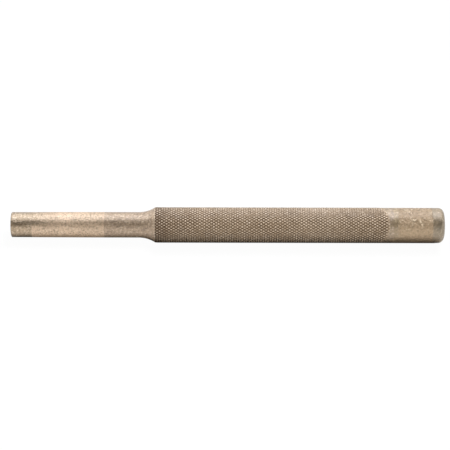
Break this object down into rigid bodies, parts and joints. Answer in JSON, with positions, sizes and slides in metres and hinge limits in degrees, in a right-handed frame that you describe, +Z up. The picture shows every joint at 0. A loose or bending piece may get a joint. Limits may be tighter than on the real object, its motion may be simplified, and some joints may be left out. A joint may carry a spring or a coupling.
{
  "type": "pin punch",
  "caption": "Straight pin punch in blasted bronze: a parallel pin, a flared nose, a diamond-knurled grip and a plain striking head, for driving pins out of their holes.",
  "frame": {"origin": "on the surface that the tool lies on, below the middle of its length", "axes": "+X along the tool's axis from the tip to the striking face, +Z up"},
  "size_m": [0.1366, 0.011, 0.0111],
  "materials": {
    "pin_bronze": "blasted bronze, lighter and grainier where it has been dressed, dull near the tip",
    "nose_bronze": "blasted bronze, dull and a little darker than the pin",
    "grip_bronze": "fine diamond knurl in dull bronze, dark in the grooves and bright on the points",
    "head_bronze": "turned and blasted bronze, satin, darker at the rounded edge"
  },
  "bodies": {
    "root": {"drive_pin": "pin_bronze", "nose_collar": "nose_bronze", "knurled_grip": "grip_bronze", "striking_head": "head_bronze"}
  },
  "joints": []
}
